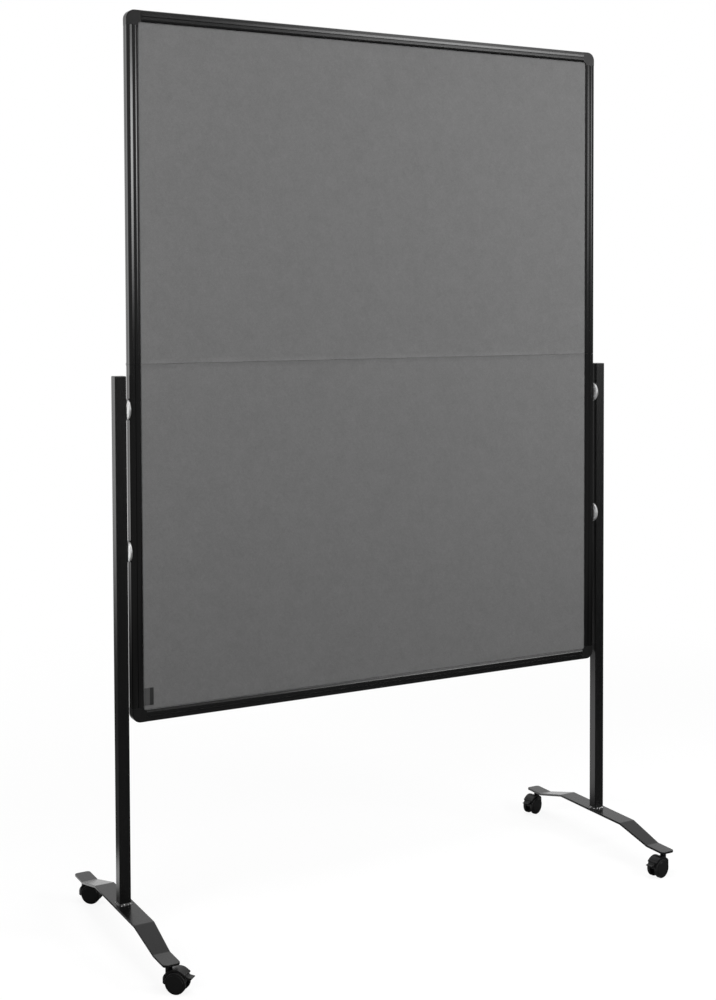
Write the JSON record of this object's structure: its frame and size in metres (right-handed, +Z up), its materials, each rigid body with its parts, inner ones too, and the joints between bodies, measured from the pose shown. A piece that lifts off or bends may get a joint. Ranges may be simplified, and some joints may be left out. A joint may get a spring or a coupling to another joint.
{
  "type": "mobile pinboard",
  "caption": "Upright folding pinboard: grey felt panel in a slim black frame, held by clamp wheels between square posts on bent bar feet with braked casters.",
  "frame": {"origin": "on the floor, under the middle of the board's width and of its thickness; the bounding box's bottom centre apart from the way the casters point", "axes": "+Z up, +X along the board to the right as seen from the front, -Y out of the front face"},
  "size_m": [1.284, 0.5932, 1.97],
  "materials": {
    "frame_anodised": "black anodised, satin",
    "frame_moulding": "black moulded, fine matt",
    "felt": "grey needle felt",
    "core_board": "plain light board",
    "stand_paint": "black powder coat",
    "clamp_metal": "turned, bright",
    "bright_steel": "plain",
    "caster_moulding": "black moulded, satin"
  },
  "bodies": {
    "stand": {"post_left": "stand_paint", "foot_left": "stand_paint", "stile_lower_left": "frame_anodised", "corner_lower_left": "frame_moulding", "post_right": "stand_paint", "foot_right": "stand_paint", "stile_lower_right": "frame_anodised", "corner_lower_right": "frame_moulding", "bottom_rail": "frame_anodised", "core_lower": "core_board", "felt_front_lower": "felt", "felt_back_lower": "felt", "hinge_leaves_lower": "stand_paint", "post_plugs": "frame_moulding", "foot_welds": "stand_paint", "caster_bushes": "stand_paint", "stile_inserts": "bright_steel", "clamp_studs": "bright_steel", "hinge_pins": "bright_steel", "caster_stems": "bright_steel"},
    "upper_half": {"stile_upper_left": "frame_anodised", "stile_upper_right": "frame_anodised", "top_rail": "frame_anodised", "corner_upper_left": "frame_moulding", "corner_upper_right": "frame_moulding", "core_upper": "core_board", "felt_front_upper": "felt", "felt_back_upper": "felt", "hinge_leaves_upper": "stand_paint"},
    "clamp_upper_left": {"clamp_wheel_upper_left": "clamp_metal"},
    "clamp_upper_right": {"clamp_wheel_upper_right": "clamp_metal"},
    "clamp_lower_left": {"clamp_wheel_lower_left": "clamp_metal"},
    "clamp_lower_right": {"clamp_wheel_lower_right": "clamp_metal"},
    "caster_front_left": {"caster_front_left_hood": "caster_moulding", "caster_front_left_pins": "bright_steel"},
    "caster_front_left_wheel_a": {"caster_front_left_wheel_a": "caster_moulding"},
    "caster_front_left_wheel_b": {"caster_front_left_wheel_b": "caster_moulding"},
    "caster_front_left_brake": {"caster_front_left_brake": "caster_moulding"},
    "caster_rear_left": {"caster_rear_left_hood": "caster_moulding", "caster_rear_left_pins": "bright_steel"},
    "caster_rear_left_wheel_a": {"caster_rear_left_wheel_a": "caster_moulding"},
    "caster_rear_left_wheel_b": {"caster_rear_left_wheel_b": "caster_moulding"},
    "caster_rear_left_brake": {"caster_rear_left_brake": "caster_moulding"},
    "caster_front_right": {"caster_front_right_hood": "caster_moulding", "caster_front_right_pins": "bright_steel"},
    "caster_front_right_wheel_a": {"caster_front_right_wheel_a": "caster_moulding"},
    "caster_front_right_wheel_b": {"caster_front_right_wheel_b": "caster_moulding"},
    "caster_front_right_brake": {"caster_front_right_brake": "caster_moulding"},
    "caster_rear_right": {"caster_rear_right_hood": "caster_moulding", "caster_rear_right_pins": "bright_steel"},
    "caster_rear_right_wheel_a": {"caster_rear_right_wheel_a": "caster_moulding"},
    "caster_rear_right_wheel_b": {"caster_rear_right_wheel_b": "caster_moulding"},
    "caster_rear_right_brake": {"caster_rear_right_brake": "caster_moulding"}
  },
  "joints": [
    {"name": "board_fold", "type": "hinge", "parent": "stand", "child": "upper_half", "pos_m": [0, 0.015, 1.23], "axis": [-1, 0, 0], "range_deg": [0, 180]},
    {"name": "clamp_upper_left_turn", "type": "hinge", "parent": "stand", "child": "clamp_upper_left", "pos_m": [-0.60375, 0, 1.135], "axis": [-1, 0, 0], "range_deg": [0, 180]},
    {"name": "clamp_upper_right_turn", "type": "hinge", "parent": "stand", "child": "clamp_upper_right", "pos_m": [0.60375, 0, 1.135], "axis": [1, 0, 0], "range_deg": [0, 180]},
    {"name": "clamp_lower_left_turn", "type": "hinge", "parent": "stand", "child": "clamp_lower_left", "pos_m": [-0.60375, 0, 0.835], "axis": [-1, 0, 0], "range_deg": [0, 180]},
    {"name": "clamp_lower_right_turn", "type": "hinge", "parent": "stand", "child": "clamp_lower_right", "pos_m": [0.60375, 0, 0.835], "axis": [1, 0, 0], "range_deg": [0, 180]},
    {"name": "caster_front_left_swivel", "type": "hinge", "parent": "stand", "child": "caster_front_left", "pos_m": [-0.62, -0.265, 0.05], "axis": [0, 0, 1], "continuous": true},
    {"name": "caster_front_left_wheel_a_spin", "type": "hinge", "parent": "caster_front_left", "child": "caster_front_left_wheel_a", "pos_m": [-0.60668, -0.27855, 0.022], "axis": [0.7133, 0.7009, 0], "continuous": true},
    {"name": "caster_front_left_wheel_b_spin", "type": "hinge", "parent": "caster_front_left", "child": "caster_front_left_wheel_b", "pos_m": [-0.60668, -0.27855, 0.022], "axis": [0.7133, 0.7009, 0], "continuous": true},
    {"name": "caster_front_left_brake_press", "type": "hinge", "parent": "caster_front_left", "child": "caster_front_left_brake", "pos_m": [-0.59361, -0.29186, 0.0388], "axis": [0.7133, 0.7009, 0], "range_deg": [0, 17]},
    {"name": "caster_rear_left_swivel", "type": "hinge", "parent": "stand", "child": "caster_rear_left", "pos_m": [-0.62, 0.265, 0.05], "axis": [0, 0, 1], "continuous": true},
    {"name": "caster_rear_left_wheel_a_spin", "type": "hinge", "parent": "caster_rear_left", "child": "caster_rear_left_wheel_a", "pos_m": [-0.6054, 0.25284, 0.022], "axis": [0.6401, 0.7683, 0], "continuous": true},
    {"name": "caster_rear_left_wheel_b_spin", "type": "hinge", "parent": "caster_rear_left", "child": "caster_rear_left_wheel_b", "pos_m": [-0.6054, 0.25284, 0.022], "axis": [0.6401, 0.7683, 0], "continuous": true},
    {"name": "caster_rear_left_brake_press", "type": "hinge", "parent": "caster_rear_left", "child": "caster_rear_left_brake", "pos_m": [-0.59107, 0.2409, 0.0388], "axis": [0.6401, 0.7683, 0], "range_deg": [0, 17]},
    {"name": "caster_front_right_swivel", "type": "hinge", "parent": "stand", "child": "caster_front_right", "pos_m": [0.62, -0.265, 0.05], "axis": [0, 0, 1], "continuous": true},
    {"name": "caster_front_right_wheel_a_spin", "type": "hinge", "parent": "caster_front_right", "child": "caster_front_right_wheel_a", "pos_m": [0.60138, -0.26879, 0.022], "axis": [0.1994, -0.9799, 0], "continuous": true},
    {"name": "caster_front_right_wheel_b_spin", "type": "hinge", "parent": "caster_front_right", "child": "caster_front_right_wheel_b", "pos_m": [0.60138, -0.26879, 0.022], "axis": [0.1994, -0.9799, 0], "continuous": true},
    {"name": "caster_front_right_brake_press", "type": "hinge", "parent": "caster_front_right", "child": "caster_front_right_brake", "pos_m": [0.5831, -0.27251, 0.0388], "axis": [0.1994, -0.9799, 0], "range_deg": [0, 17]},
    {"name": "caster_rear_right_swivel", "type": "hinge", "parent": "stand", "child": "caster_rear_right", "pos_m": [0.62, 0.265, 0.05], "axis": [0, 0, 1], "continuous": true},
    {"name": "caster_rear_right_wheel_a_spin", "type": "hinge", "parent": "caster_rear_right", "child": "caster_rear_right_wheel_a", "pos_m": [0.6022, 0.25835, 0.022], "axis": [0.3502, -0.9367, 0], "continuous": true},
    {"name": "caster_rear_right_wheel_b_spin", "type": "hinge", "parent": "caster_rear_right", "child": "caster_rear_right_wheel_b", "pos_m": [0.6022, 0.25835, 0.022], "axis": [0.3502, -0.9367, 0], "continuous": true},
    {"name": "caster_rear_right_brake_press", "type": "hinge", "parent": "caster_rear_right", "child": "caster_rear_right_brake", "pos_m": [0.58473, 0.25181, 0.0388], "axis": [0.3502, -0.9367, 0], "range_deg": [0, 17]}
  ]
}
